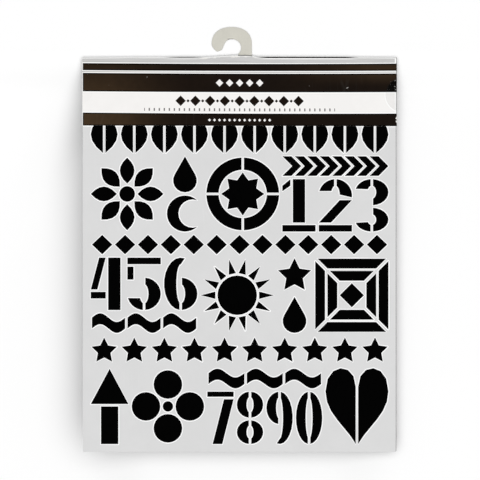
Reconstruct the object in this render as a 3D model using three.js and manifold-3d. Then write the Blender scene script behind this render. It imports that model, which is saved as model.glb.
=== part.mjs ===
// A packaged craft stencil: a sheet with cut-outs on a black backing card, both pinched at the top in a
// folded header card, which hangs by a flat plastic hook and is closed by a clear seal over each side.
// Millimetres. The pack lies on its back: X across, Y up to the hook, Z out of the front.
import * as THREE from "three";
import { mergeVertices } from "three/addons/utils/BufferGeometryUtils.js";
import Module from "manifold-3d";

// Stencil sheet and backing card
const SHEET_WIDTH = 200;
const SHEET_HEIGHT = 250;
const SHEET_THICKNESS = 0.25;
const SHEET_CORNER = 0.8;
const BACKING_INSET = 1;
const BACKING_THICKNESS = 0.4;

// Header card, measured down from the top of its fold. Its back is laid out in panels side by side,
// so that the middle one is clear of both seals.
const CARD_THICKNESS = 0.35;
const CARD_PANELS = 3;
const HEADER_DROP = 43.6;
const SPINE_RUN = 4;
const CREASE_GAP = 0.2;
const SHEET_DROP = 1.9;
const SIDE_PLAY = 0.3;
const LAYER_GAP = 0.1;

// Hanger hook: the part that shows, measured from the fold and the pack's middle
const HOOK_THICKNESS = 0.5;
const HOOK_RISE = 19.4;
const HOOK_REACH = 17.8;
const HOOK_SPRING_HEIGHT = 8.7;
const HOOK_BAND = 7.7;
const HOOK_STEPS = 14;
const STEM_LEFT = -0.9;
const STEM_WIDTH = 8.7;
const NECK_WIDTH = 6.8;
const NECK_HEIGHT = 6.2;
const NECK_FLARE = 1.2;
const TIP_WIDTH = 6.7;
const TIP_POINT = 3.5;
const TIP_HEIGHT = 3.8;
const TIP_LIFT = 1.4;
const TIP_ROUND = 0.8;
const THROAT_LEAN = 1.3;
const THROAT_RUN = 3.3;
const THROAT_FULLNESS = 0.64;
const ARCH_FULLNESS = 0.62;
const ROUND_FULLNESS = 0.55;

// Hanger hook: the foot inside the header, and the pad that sticks it to the back flap
const FOOT_DROP = 6;
const FOOT_WIDTH = 36;
const FOOT_HEIGHT = 16;
const PAD_THICKNESS = 0.1;
const PAD_BORDER = 2;
const SLIT_CLEARANCE = 0.15;

// Clear seals, each slit in two along the header's side edge, and stuck on by hand with more of it behind
const SEAL_RADIUS = 10.85;
const SEAL_REACH = 7.2;
const SEAL_FILM = 0.1;
const SEAL_SLIT = 0.3;
const LEFT_SEAL_DROP = 19.5;
const RIGHT_SEAL_DROP = 23.9;

// Cut-outs: the bare margin round them, the land between cells, and the bridges inside a motif
const DESIGN_MARGIN = 5;
const CELL_GAP = 2;
const BRIDGE_WIDTH = 1.5;
const CURVE_STEPS = 6;
const SAME_POINT = 0.001;

// Proportions of the motifs, as shares of the radius, width or height of the cell they fill
const STAR_TIPS = 5;
const STAR_WAIST_SHARE = 0.5;
const ROSETTE_PETALS = 8;
const ROSETTE_ROOT_SHARE = 0.28;
const PETAL_LAND_SHARE = 0.65;
const TARGET_BAND_SHARE = 0.34;
const TARGET_ARCS = 4;
const TARGET_TIPS = 8;
const TARGET_WAIST_SHARE = 0.68;
const SUN_RAYS = 14;
const SUN_CORE_SHARE = 0.54;
const CRESCENT_HOLLOW_SHARE = 0.78;
const CRESCENT_SHIFT_SHARE = 0.42;
const LEAF_WIDTH_SHARE = 0.75;
const DROP_ROUND_SHARE = 0.33;
const FRAME_BAND_SHARE = 0.27;
const ARROW_SHAFT_SHARE = 0.46;
const HEART_TAPER_SHARE = 0.25;
const HEART_SIDE_SHARE = 0.4;
const HEART_WIDEST_SHARE = 0.7;
const HEART_NOTCH_SHARE = 0.76;
const HEART_LOBE_SHARE = 1.1;
const CHEVRON_PITCH_SHARE = 0.62;
const DIAMOND_PITCH_SHARE = 1.15;
const WAVE_PITCH_SHARE = 1.9;
const WAVE_SWING_SHARE = 0.22;
const WAVE_STEPS = 24;

// Proportions of the digits, as shares of a digit's width or height, and angles round a bowl
const QUARTER_TURN = Math.PI / 2;
const DIGIT_SIDE_SHARE = 0.37;
const DIGIT_TOP_SHARE = 0.2;
const DIGIT_BOWL_SHARE = 0.31;
const DIGIT_WAIST_SHARE = 0.4;
const DIGIT_CROSSBAR_SHARE = 0.22;
const DIGIT_SHOULDER_SHARE = 0.58;
const DIGIT_OVERHANG_SHARE = 0.11;
const DIGIT_HOOK_ANGLE = 0.94 * Math.PI;
const DIGIT_TAIL_ANGLE = 0.4 * Math.PI;
const DIGIT_CURL_ANGLE = -0.2;

// Colours and roughness of the materials
const POLYESTER = { color: 0xdbdbdb, roughness: 0.45 };
const BLACK_CARD = { color: 0x050505, roughness: 0.85 };
const PRINTED_CARD = { color: 0x2a1f18, roughness: 0.6 };
const HOOK_PLASTIC = { color: 0xcecbc1, roughness: 0.4 };
const ADHESIVE = { color: 0xe8e4d8, roughness: 0.7 };
const CLEAR_FILM = { color: 0xf4f4f4, roughness: 0.15, transparent: true, opacity: 0.35 };

// Heights of the layers, from the back of the pack
const backFlapZ = SEAL_FILM;
const padZ = backFlapZ + CARD_THICKNESS;
const hookZ = padZ + PAD_THICKNESS;
const backingZ = hookZ + HOOK_THICKNESS + LAYER_GAP;
const sheetZ = backingZ + BACKING_THICKNESS + LAYER_GAP;
const frontFlapZ = sheetZ + SHEET_THICKNESS + LAYER_GAP;
const frontFaceZ = frontFlapZ + CARD_THICKNESS;
const edgeMiddleZ = (backFlapZ + frontFaceZ) / 2;

// Widths and lengths that follow
const headerWidth = SHEET_WIDTH + 2 * SIDE_PLAY;
const packHeight = HOOK_RISE + SHEET_DROP + SHEET_HEIGHT;
const foldY = packHeight / 2 - HOOK_RISE;
const stemRight = STEM_LEFT + STEM_WIDTH;
const stemMiddle = STEM_LEFT + STEM_WIDTH / 2;

const wasm = await Module();
wasm.setup();

function toSolid(geometry) {
  const bare = geometry.clone();
  bare.deleteAttribute("normal");
  bare.deleteAttribute("uv");
  const merged = mergeVertices(bare);
  return new wasm.Manifold(
    new wasm.Mesh({
      numProp: 3,
      vertProperties: merged.attributes.position.array,
      triVerts: new Uint32Array(merged.index.array),
    }),
  );
}

function toGeometry(solid) {
  const mesh = solid.getMesh();
  const geometry = new THREE.BufferGeometry();
  geometry.setAttribute("position", new THREE.BufferAttribute(mesh.vertProperties, mesh.numProp));
  geometry.setIndex(new THREE.BufferAttribute(mesh.triVerts, 1));
  geometry.computeVertexNormals();
  return geometry;
}

const join = (a, b) => toGeometry(toSolid(a).add(toSolid(b)));
const cut = (a, ...tools) =>
  toGeometry(tools.reduce((solid, tool) => solid.subtract(toSolid(tool)), toSolid(a)));

function plate(shape, bottom, thickness, { curveSegments = CURVE_STEPS, steps = 1 } = {}) {
  const options = { depth: thickness, steps, curveSegments, bevelEnabled: false };
  return new THREE.ExtrudeGeometry(shape, options).translate(0, 0, bottom);
}

function block(low, high) {
  const size = new THREE.Vector3().subVectors(high, low);
  const middle = new THREE.Vector3().addVectors(low, high).divideScalar(2);
  return new THREE.BoxGeometry(size.x, size.y, size.z).translate(middle.x, middle.y, middle.z);
}

function part(name, geometry, finish) {
  const material = new THREE.MeshStandardMaterial({ metalness: 0, ...finish });
  const mesh = new THREE.Mesh(geometry, material);
  mesh.name = name;
  return mesh;
}

// A rectangle that hangs down from top, with round corners
function roundedRectangle(width, height, top, corner) {
  const right = width / 2;
  const bottom = top - height;
  const shape = new THREE.Shape();
  shape.absarc(right - corner, top - corner, corner, 0, QUARTER_TURN);
  shape.absarc(corner - right, top - corner, corner, QUARTER_TURN, 2 * QUARTER_TURN);
  shape.absarc(corner - right, bottom + corner, corner, 2 * QUARTER_TURN, 3 * QUARTER_TURN);
  shape.absarc(right - corner, bottom + corner, corner, 3 * QUARTER_TURN, 4 * QUARTER_TURN);
  return shape;
}

// Cut-out motifs. Each one draws inside a cell and gives a list of closed paths.
function cellOf(x, y, w, h) {
  return { x, y, w, h, cx: x + w / 2, cy: y + h / 2, r: Math.min(w, h) / 2 };
}

const polygon = (points) => new THREE.Path(points.map(([x, y]) => new THREE.Vector2(x, y)));
const bar = (x0, y0, x1, y1) => polygon([[x0, y0], [x1, y0], [x1, y1], [x0, y1]]);
const disc = (x, y, radius) =>
  new THREE.Path().absarc(x, y, radius, 0, Math.PI).absarc(x, y, radius, Math.PI, 2 * Math.PI);
const turns = (count) => Array.from({ length: count }, (_, i) => (i * 2 * Math.PI) / count);

function polar(cell, radius, angle) {
  return [cell.cx + radius * Math.cos(angle), cell.cy + radius * Math.sin(angle)];
}

// A stretch of an elliptical ring, with its square ends set back by half a bridge
function bow(cx, cy, rx, ry, thick, thin, from, to) {
  const inset = (radius) => Math.asin(BRIDGE_WIDTH / 2 / radius);
  const innerX = rx - thick;
  const innerY = ry - thin;
  const path = new THREE.Path();
  path.absellipse(cx, cy, rx, ry, from + inset(rx), to - inset(rx), false);
  path.absellipse(cx, cy, innerX, innerY, to - inset(innerX), from + inset(innerX), true);
  return path;
}

function burst(tips, waist) {
  return (cell) => {
    const reach = (i) => cell.r * (i % 2 ? waist : 1);
    return [polygon(turns(2 * tips).map((a, i) => polar(cell, reach(i), a + QUARTER_TURN)))];
  };
}

const star = burst(STAR_TIPS, STAR_WAIST_SHARE);

function rosette(cell) {
  const root = cell.r * ROSETTE_ROOT_SHARE;
  const middle = (root + cell.r) / 2;
  const land = BRIDGE_WIDTH * PETAL_LAND_SHARE;
  const bulge = 2 * (middle * Math.sin(Math.PI / ROSETTE_PETALS) - land);
  const lean = Math.atan2(bulge, middle);
  const reach = Math.hypot(bulge, middle);
  const petals = turns(ROSETTE_PETALS).map((a) => {
    const path = new THREE.Path().moveTo(...polar(cell, root, a));
    path.quadraticCurveTo(...polar(cell, reach, a - lean), ...polar(cell, cell.r, a));
    path.quadraticCurveTo(...polar(cell, reach, a + lean), ...polar(cell, root, a));
    return path;
  });
  return [...petals, disc(cell.cx, cell.cy, root - BRIDGE_WIDTH)];
}

function target(cell) {
  const { cx, cy, r } = cell;
  const band = r * TARGET_BAND_SHARE;
  const core = r - band - BRIDGE_WIDTH;
  const sweep = (2 * Math.PI) / TARGET_ARCS;
  const arcs = turns(TARGET_ARCS).map((a) => bow(cx, cy, r, r, band, band, a, a + sweep));
  const middle = cellOf(cx - core, cy - core, 2 * core, 2 * core);
  return [...arcs, ...burst(TARGET_TIPS, TARGET_WAIST_SHARE)(middle)];
}

function sun(cell) {
  const core = cell.r * SUN_CORE_SHARE;
  const base = core + BRIDGE_WIDTH;
  const spread = Math.PI / SUN_RAYS - BRIDGE_WIDTH / 2 / base;
  const rays = turns(SUN_RAYS).map((a) =>
    polygon([polar(cell, base, a - spread), polar(cell, cell.r, a), polar(cell, base, a + spread)]),
  );
  return [...rays, disc(cell.cx, cell.cy, core)];
}

function clover(cell) {
  const lobe = (Math.SQRT2 * cell.r - BRIDGE_WIDTH) / (2 + Math.SQRT2);
  const reach = cell.r - lobe;
  const lobes = turns(4).map((a) => disc(...polar(cell, reach, a), lobe));
  return [...lobes, disc(cell.cx, cell.cy, reach - lobe - BRIDGE_WIDTH)];
}

function crescent(cell) {
  const hollow = cell.r * CRESCENT_HOLLOW_SHARE;
  const shift = cell.r * CRESCENT_SHIFT_SHARE;
  const chord = (cell.r ** 2 - hollow ** 2 + shift ** 2) / (2 * shift);
  const outer = Math.acos(chord / cell.r);
  const inner = Math.acos((chord - shift) / hollow);
  const path = new THREE.Path();
  path.absarc(cell.cx, cell.cy, cell.r, outer, Math.PI, false);
  path.absarc(cell.cx, cell.cy, cell.r, Math.PI, 2 * Math.PI - outer, false);
  path.absarc(cell.cx + shift, cell.cy, hollow, 2 * Math.PI - inner, inner, true);
  return [path];
}

function leaf(cell) {
  const half = Math.min(cell.w, cell.h * LEAF_WIDTH_SHARE) / 2;
  return [-1, 1].map((side) => {
    const rib = cell.cx + (side * BRIDGE_WIDTH) / 2;
    const path = new THREE.Path().moveTo(rib, cell.y);
    path.quadraticCurveTo(cell.cx + side * (2 * half - BRIDGE_WIDTH / 2), cell.cy, rib, cell.y + cell.h);
    return path;
  });
}

function drop(cell) {
  const radius = Math.min(cell.w / 2, cell.h * DROP_ROUND_SHARE);
  const lean = Math.acos(radius / (cell.h - radius));
  const path = new THREE.Path();
  path.absarc(cell.cx, cell.y + radius, radius, QUARTER_TURN + lean, 5 * QUARTER_TURN - lean, false);
  path.lineTo(cell.cx, cell.y + cell.h);
  return [path];
}

function frames(cell) {
  const band = cell.r * FRAME_BAND_SHARE;
  const frame = (half) =>
    turns(4).map((a) => {
      const corner = (along, out) => polar(cell, Math.hypot(along, out), a + Math.atan2(along, out));
      const inner = half - band;
      const outerEnd = half - BRIDGE_WIDTH;
      const innerEnd = inner - BRIDGE_WIDTH;
      return polygon([
        corner(-outerEnd, half),
        corner(outerEnd, half),
        corner(innerEnd, inner),
        corner(-innerEnd, inner),
      ]);
    });
  const second = cell.r - band - BRIDGE_WIDTH;
  const core = second - band - BRIDGE_WIDTH;
  const diamond = polygon(turns(4).map((a) => polar(cell, core, a)));
  return [...frame(cell.r), ...frame(second), diamond];
}

function arrow(cell) {
  const { x, y, w, h, cx, cy } = cell;
  const shaft = w * ARROW_SHAFT_SHARE;
  const head = polygon([[x, cy + BRIDGE_WIDTH], [x + w, cy + BRIDGE_WIDTH], [cx, y + h]]);
  return [head, bar(cx - shaft / 2, y, cx + shaft / 2, cy)];
}

function heart(cell) {
  const half = cell.r;
  const at = (share) => cell.y + share * cell.h;
  return [-1, 1].map((side) => {
    const seam = cell.cx + (side * BRIDGE_WIDTH) / 2;
    const edge = cell.cx + side * half;
    const flank = seam + (side * half) / 3;
    const widest = at(HEART_WIDEST_SHARE);
    const lobe = at(HEART_LOBE_SHARE);
    const path = new THREE.Path().moveTo(seam, cell.y);
    path.bezierCurveTo(flank, at(HEART_TAPER_SHARE), edge, at(HEART_SIDE_SHARE), edge, widest);
    path.bezierCurveTo(edge, lobe, seam, lobe, seam, at(HEART_NOTCH_SHARE));
    return path;
  });
}

function chevrons(cell) {
  const point = cell.h / 2;
  const land = BRIDGE_WIDTH * Math.SQRT2;
  const count = Math.max(1, Math.round((cell.w - point) / (cell.h * CHEVRON_PITCH_SHARE)));
  const pitch = (cell.w - point + land) / count;
  const top = cell.y + cell.h;
  return Array.from({ length: count }, (_, i) => {
    const left = cell.x + i * pitch;
    const right = left + pitch - land;
    return polygon([
      [left, cell.y],
      [right, cell.y],
      [right + point, cell.cy],
      [right, top],
      [left, top],
      [left + point, cell.cy],
    ]);
  });
}

function diamonds(cell) {
  const count = Math.max(1, Math.round(cell.w / (cell.h * DIAMOND_PITCH_SHARE)));
  const pitch = cell.w / count;
  const half = (pitch - BRIDGE_WIDTH) / 2;
  const top = cell.y + cell.h;
  return Array.from({ length: count }, (_, i) => {
    const middle = cell.x + (i + 1 / 2) * pitch;
    return polygon([[middle - half, cell.cy], [middle, cell.y], [middle + half, cell.cy], [middle, top]]);
  });
}

function wave(cell) {
  const count = Math.max(1, Math.round(cell.w / (cell.h * WAVE_PITCH_SHARE)));
  const pitch = cell.w / count;
  const swing = cell.h * WAVE_SWING_SHARE;
  const half = cell.h / 2 - swing;
  const shares = Array.from({ length: WAVE_STEPS + 1 }, (_, k) => k / WAVE_STEPS);
  return Array.from({ length: count }, (_, i) => {
    const left = cell.x + i * pitch + BRIDGE_WIDTH / 2;
    const crest = (share, offset) => [
      left + share * (pitch - BRIDGE_WIDTH),
      cell.cy + swing * Math.sin(share * 2 * Math.PI) + offset,
    ];
    const below = shares.map((share) => crest(share, -half));
    const above = shares.map((share) => crest(share, half)).reverse();
    return polygon([...below, ...above]);
  });
}

// Plain digits with heavy sides and light tops
function digit(value) {
  return ({ x, y, w, h, cx, cy }) => {
    const thick = w * DIGIT_SIDE_SHARE;
    const thin = w * DIGIT_TOP_SHARE;
    const bowl = h * DIGIT_BOWL_SHARE;
    const right = x + w;
    const top = y + h;
    const upper = h / 4;
    const lower = (h - BRIDGE_WIDTH) / 2 - upper;
    const arc = (middle, ry, from, to) => bow(cx, middle, w / 2, ry, thick, thin, from, to);
    const rightHalf = (middle, ry) => arc(middle, ry, -QUARTER_TURN, QUARTER_TURN);
    const leftHalf = (middle, ry) => arc(middle, ry, QUARTER_TURN, 3 * QUARTER_TURN);
    const hookDown = (middle, ry) => arc(middle, ry, QUARTER_TURN, DIGIT_HOOK_ANGLE);
    const hookUp = (middle, ry) => arc(middle, ry, -DIGIT_HOOK_ANGLE, -QUARTER_TURN);
    const slant = (x0, y0, x1, y1, width) =>
      polygon([[x0, y0], [x0 + width, y0], [x1, y1], [x1 - width, y1]]);
    const strokes = {
      0: () => [leftHalf(cy, h / 2), rightHalf(cy, h / 2)],
      1: () => {
        const side = thick / 2;
        const flag = cx - side - BRIDGE_WIDTH;
        return [
          bar(cx - side, y + thin + BRIDGE_WIDTH, cx + side, top),
          bar(x, y, right, y + thin),
          polygon([[x, top - thick], [flag, top - thin], [flag, top], [x, top - thin]]),
        ];
      },
      2: () => [
        hookDown(top - bowl, bowl),
        arc(top - bowl, bowl, DIGIT_CURL_ANGLE, QUARTER_TURN),
        slant(x, y + thin + BRIDGE_WIDTH, right, top - h * DIGIT_WAIST_SHARE, thick),
        bar(x, y, right, y + thin),
      ],
      3: () => [
        rightHalf(top - upper, upper),
        hookDown(top - upper, upper),
        rightHalf(y + lower, lower),
        hookUp(y + lower, lower),
      ],
      4: () => {
        const stemEnd = right - w * DIGIT_OVERHANG_SHARE;
        const stem = stemEnd - thick;
        const crossbar = y + h * DIGIT_CROSSBAR_SHARE;
        return [
          bar(stem, y, stemEnd, top),
          bar(x, crossbar, stem - BRIDGE_WIDTH, crossbar + thin),
          slant(x, crossbar + thin + BRIDGE_WIDTH, stem - BRIDGE_WIDTH, top, thin),
        ];
      },
      5: () => [
        bar(x, top - thin, right, top),
        bar(x, y + h * DIGIT_SHOULDER_SHARE, x + thick / 2, top - thin - BRIDGE_WIDTH),
        rightHalf(y + bowl, bowl),
        hookUp(y + bowl, bowl),
      ],
      6: () => [arc(cy, h / 2, DIGIT_TAIL_ANGLE, 3 * QUARTER_TURN), rightHalf(y + bowl, bowl)],
      7: () => [
        bar(x, top - thin, right, top),
        slant(x + thin, y, right, top - thin - BRIDGE_WIDTH, thick),
      ],
      8: () => [
        rightHalf(top - upper, upper),
        leftHalf(top - upper, upper),
        rightHalf(y + lower, lower),
        leftHalf(y + lower, lower),
      ],
      9: () => [arc(cy, h / 2, DIGIT_TAIL_ANGLE - Math.PI, QUARTER_TURN), leftHalf(top - bowl, bowl)],
    };
    return strokes[value]();
  };
}

// The layout is a tree of rows and columns: each entry is a share of the room and what fills it
const across = (...items) => ({ items, horizontal: true });
const down = (...items) => ({ items, horizontal: false });
const same = (count, motif) => across(...Array.from({ length: count }, () => [1, motif]));
const digits = (...values) => across(...values.map((value) => [1, digit(value)]));

const design = down(
  [27, same(4, chevrons)],
  [23, same(10, leaf)],
  [46, across(
    [46, rosette],
    [23, down([1, drop], [1, crescent])],
    [46, target],
    [67, down([12, chevrons], [32, digits(1, 2, 3)])],
  )],
  [12, diamonds],
  [46, across(
    [67, down([32, digits(4, 5, 6)], [12, wave])],
    [46, sun],
    [22, down([1, star], [1, drop])],
    [46, frames],
  )],
  [18, same(10, star)],
  [46, across(
    [24, arrow],
    [46, clover],
    [73, down([12, wave], [32, digits(7, 8, 9, 0)])],
    [40, heart],
  )],
);

function fill(plan, cell) {
  if (typeof plan === "function") return plan(cell);
  const { items, horizontal } = plan;
  const room = (horizontal ? cell.w : cell.h) - CELL_GAP * (items.length - 1);
  const shares = items.reduce((sum, [share]) => sum + share, 0);
  let used = 0;
  return items.flatMap(([share, inner]) => {
    const size = (room * share) / shares;
    const box = horizontal
      ? cellOf(cell.x + used, cell.y, size, cell.h)
      : cellOf(cell.x, cell.y + cell.h - used - size, cell.w, size);
    used += size + CELL_GAP;
    return fill(inner, box);
  });
}

// The block that cuts one path through the sheet, from a sheet's thickness below it to as far above.
// Where a path's last point falls on its first, it is left out.
function cutter(path) {
  const points = path.getPoints(CURVE_STEPS);
  if (points[0].distanceTo(points.at(-1)) < SAME_POINT) points.pop();
  return plate(new THREE.Shape(points), sheetZ - SHEET_THICKNESS, 3 * SHEET_THICKNESS);
}

function stencilSheet() {
  const shape = roundedRectangle(SHEET_WIDTH, SHEET_HEIGHT, -SHEET_DROP, SHEET_CORNER);
  const area = cellOf(
    DESIGN_MARGIN - SHEET_WIDTH / 2,
    DESIGN_MARGIN - SHEET_DROP - SHEET_HEIGHT,
    SHEET_WIDTH - 2 * DESIGN_MARGIN,
    SHEET_HEIGHT - 2 * DESIGN_MARGIN,
  );
  const blank = plate(shape, sheetZ, SHEET_THICKNESS);
  const cutters = fill(design, area).map(cutter);
  return part("stencil_sheet", cut(blank, ...cutters), POLYESTER);
}

function backingCard() {
  const shape = roundedRectangle(
    SHEET_WIDTH - 2 * BACKING_INSET,
    SHEET_HEIGHT - 2 * BACKING_INSET,
    -SHEET_DROP - BACKING_INSET,
    SHEET_CORNER,
  );
  return part("backing_card", plate(shape, backingZ, BACKING_THICKNESS), BLACK_CARD);
}

// The back flap rises through a half round fold into the spine, which ends at the front crease
function headerBackFlap() {
  const outer = (frontFaceZ - backFlapZ) / 2;
  const profile = new THREE.Shape();
  profile.moveTo(-HEADER_DROP, backFlapZ);
  profile.lineTo(-outer, backFlapZ);
  profile.absarc(-outer, edgeMiddleZ, outer, -QUARTER_TURN, QUARTER_TURN, false);
  profile.lineTo(CREASE_GAP - SPINE_RUN, frontFaceZ);
  profile.lineTo(CREASE_GAP - SPINE_RUN, frontFlapZ);
  profile.absarc(-outer, edgeMiddleZ, outer - CARD_THICKNESS, QUARTER_TURN, -QUARTER_TURN, true);
  profile.lineTo(-HEADER_DROP, padZ);
  const alongX = new THREE.Matrix4().makeBasis(
    new THREE.Vector3(0, 1, 0),
    new THREE.Vector3(0, 0, 1),
    new THREE.Vector3(1, 0, 0),
  );
  const folded = plate(profile, -headerWidth / 2, headerWidth, { steps: CARD_PANELS });
  const slit = block(
    new THREE.Vector3(STEM_LEFT - SLIT_CLEARANCE, -outer, hookZ - SLIT_CLEARANCE),
    new THREE.Vector3(stemRight + SLIT_CLEARANCE, outer, hookZ + HOOK_THICKNESS + SLIT_CLEARANCE),
  );
  return part("header_back_flap", cut(folded.applyMatrix4(alongX), slit), PRINTED_CARD);
}

function headerFrontFlap() {
  const flap = block(
    new THREE.Vector3(-headerWidth / 2, -HEADER_DROP, frontFlapZ),
    new THREE.Vector3(headerWidth / 2, -SPINE_RUN, frontFaceZ),
  );
  return part("header_front_flap", flap, PRINTED_CARD);
}

// A J in outline: stem, arch and slanted tip, with the wide foot below the fold
function hangerHook() {
  const crown = (stemRight - HOOK_REACH) / 2;
  const halfSpan = (stemRight + HOOK_REACH) / 2;
  const throatTop = HOOK_RISE - HOOK_BAND;
  const neck = stemRight - NECK_WIDTH;
  const tipOuter = -HOOK_REACH;
  const tipInner = TIP_WIDTH - HOOK_REACH;
  const tipPoint = TIP_POINT - HOOK_REACH;
  const tipSide = TIP_HEIGHT + TIP_LIFT;
  const tipCurl = TIP_HEIGHT + TIP_LIFT / 2;
  const tipTurn = tipSide + TIP_LIFT;
  const footLeft = stemMiddle - FOOT_WIDTH / 2;
  const footRight = stemMiddle + FOOT_WIDTH / 2;
  const footTop = -FOOT_DROP;
  const footBottom = -FOOT_DROP - FOOT_HEIGHT;
  const archSide = ARCH_FULLNESS * halfSpan;
  const archTurn = HOOK_SPRING_HEIGHT + ARCH_FULLNESS * (HOOK_RISE - HOOK_SPRING_HEIGHT);
  const throatLeft = crown - THROAT_FULLNESS * (crown - tipInner);
  const throatRight = crown + ROUND_FULLNESS * (neck - crown);
  const rightTurn = NECK_HEIGHT + ROUND_FULLNESS * (throatTop - NECK_HEIGHT);
  const shape = new THREE.Shape();
  shape.moveTo(footRight, footBottom);
  shape.lineTo(footRight, footTop);
  shape.lineTo(stemRight, footTop);
  shape.lineTo(stemRight, HOOK_SPRING_HEIGHT);
  shape.bezierCurveTo(stemRight, archTurn, crown + archSide, HOOK_RISE, crown, HOOK_RISE);
  shape.bezierCurveTo(crown - archSide, HOOK_RISE, tipOuter, archTurn, tipOuter, HOOK_SPRING_HEIGHT);
  shape.bezierCurveTo(tipOuter, tipTurn, tipPoint - TIP_ROUND, TIP_HEIGHT, tipPoint, TIP_HEIGHT);
  shape.bezierCurveTo(
    tipPoint + TIP_ROUND, TIP_HEIGHT, tipInner - TIP_ROUND / 2, tipCurl, tipInner, tipSide,
  );
  shape.bezierCurveTo(
    tipInner + THROAT_LEAN, tipSide + THROAT_RUN, throatLeft, throatTop, crown, throatTop,
  );
  shape.bezierCurveTo(throatRight, throatTop, neck, rightTurn, neck, NECK_HEIGHT);
  shape.bezierCurveTo(neck, NECK_HEIGHT / 2, STEM_LEFT, NECK_HEIGHT / 2, STEM_LEFT, NECK_FLARE);
  shape.lineTo(STEM_LEFT, footTop);
  shape.lineTo(footLeft, footTop);
  shape.lineTo(footLeft, footBottom);
  const flat = plate(shape, hookZ, HOOK_THICKNESS, { curveSegments: HOOK_STEPS });
  return part("hanger_hook", flat, HOOK_PLASTIC);
}

function hookAdhesivePad() {
  const half = FOOT_WIDTH / 2 - PAD_BORDER;
  const pad = block(
    new THREE.Vector3(stemMiddle - half, -FOOT_DROP - FOOT_HEIGHT + PAD_BORDER, padZ),
    new THREE.Vector3(stemMiddle + half, -FOOT_DROP - PAD_BORDER, hookZ),
  );
  return part("hook_adhesive_pad", pad, ADHESIVE);
}

// The part of a round seal on one face of the header, with a lip down that side's edge as far as the slit
function sealHalf(name, side, drop, reach, faceZ, lipZ) {
  const edge = (side * headerWidth) / 2;
  const outside = edge + side * SEAL_FILM;
  const offset = SEAL_RADIUS - reach;
  const halfChord = Math.sqrt(SEAL_RADIUS ** 2 - offset ** 2);
  const top = halfChord - drop;
  const bottom = -halfChord - drop;
  const start = Math.atan2(halfChord, -side * offset);
  const shape = new THREE.Shape();
  shape.moveTo(outside, top);
  shape.lineTo(edge, top);
  shape.absarc(edge + side * offset, -drop, SEAL_RADIUS, start, -start, side < 0);
  shape.lineTo(outside, bottom);
  const lip = block(
    new THREE.Vector3(Math.min(edge, outside), bottom, Math.min(faceZ, lipZ)),
    new THREE.Vector3(Math.max(edge, outside), top, Math.max(faceZ + SEAL_FILM, lipZ)),
  );
  return part(name, join(plate(shape, faceZ, SEAL_FILM), lip), CLEAR_FILM);
}

const sealReachBehind = 2 * SEAL_RADIUS - SEAL_REACH - (frontFaceZ - backFlapZ);
const seals = [["left", -1, LEFT_SEAL_DROP], ["right", 1, RIGHT_SEAL_DROP]].flatMap(([word, side, drop]) => [
  sealHalf(`seal_${word}_front`, side, drop, SEAL_REACH, frontFaceZ, edgeMiddleZ + SEAL_SLIT / 2),
  sealHalf(`seal_${word}_back`, side, drop, sealReachBehind, 0, edgeMiddleZ - SEAL_SLIT / 2),
]);

// Everything is drawn with the top of the fold at Y = 0, then moved so that the pack is centred on Y
const pack = new THREE.Group();
pack.position.y = foldY;
pack.add(
  headerBackFlap(),
  headerFrontFlap(),
  hangerHook(),
  hookAdhesivePad(),
  backingCard(),
  stencilSheet(),
  ...seals,
);

const group = new THREE.Group();
group.add(pack);
export default group;
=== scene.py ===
"""Dresses a packaged craft stencil: a printed header card, a milky sheet, a black backing, a hook and clear seals.

Metres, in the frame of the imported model. The pack lies on its back, with +Y up to the hook and +Z out of
its front.
"""

import math
from contextlib import contextmanager
from functools import partial, reduce

import bmesh
import bpy
from bpy.props import FloatProperty, FloatVectorProperty, IntProperty, PointerProperty
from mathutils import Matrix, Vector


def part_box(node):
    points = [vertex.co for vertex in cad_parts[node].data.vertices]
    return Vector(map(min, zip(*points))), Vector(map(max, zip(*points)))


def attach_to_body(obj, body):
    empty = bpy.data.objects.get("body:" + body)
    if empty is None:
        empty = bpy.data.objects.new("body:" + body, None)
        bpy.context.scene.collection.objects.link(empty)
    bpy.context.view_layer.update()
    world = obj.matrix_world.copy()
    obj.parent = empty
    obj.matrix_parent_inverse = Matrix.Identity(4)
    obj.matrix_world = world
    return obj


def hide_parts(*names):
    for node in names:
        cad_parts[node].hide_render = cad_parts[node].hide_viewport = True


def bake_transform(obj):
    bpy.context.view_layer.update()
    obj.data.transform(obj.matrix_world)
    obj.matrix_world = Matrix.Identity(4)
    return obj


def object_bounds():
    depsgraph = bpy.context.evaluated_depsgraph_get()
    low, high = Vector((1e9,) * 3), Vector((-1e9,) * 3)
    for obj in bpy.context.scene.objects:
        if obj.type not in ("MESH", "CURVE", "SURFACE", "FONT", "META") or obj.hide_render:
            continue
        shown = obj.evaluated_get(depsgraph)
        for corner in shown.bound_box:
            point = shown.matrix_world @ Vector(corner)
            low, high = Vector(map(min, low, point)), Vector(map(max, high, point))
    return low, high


bl_info = {
    "name": "Packaged craft stencil",
    "version": (1, 0, 0),
    "blender": (4, 5, 0),
    "location": "3D View > Sidebar > Stencil",
    "description": "Models and finishes a stencil sheet in its folded header card",
    "category": "Object",
}

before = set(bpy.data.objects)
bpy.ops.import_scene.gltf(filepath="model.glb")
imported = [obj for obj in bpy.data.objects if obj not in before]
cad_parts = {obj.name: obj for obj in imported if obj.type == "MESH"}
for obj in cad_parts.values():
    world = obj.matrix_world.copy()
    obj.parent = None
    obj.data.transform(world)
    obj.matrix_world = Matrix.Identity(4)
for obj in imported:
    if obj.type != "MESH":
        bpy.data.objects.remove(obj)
CAD_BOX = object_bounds()

MM = 0.001

SHEET_LOW, SHEET_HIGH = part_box("stencil_sheet")
BACK_LOW, BACK_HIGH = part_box("header_back_flap")
FRONT_LOW, FRONT_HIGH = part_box("header_front_flap")
HOOK_LOW, HOOK_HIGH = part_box("hanger_hook")

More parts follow.
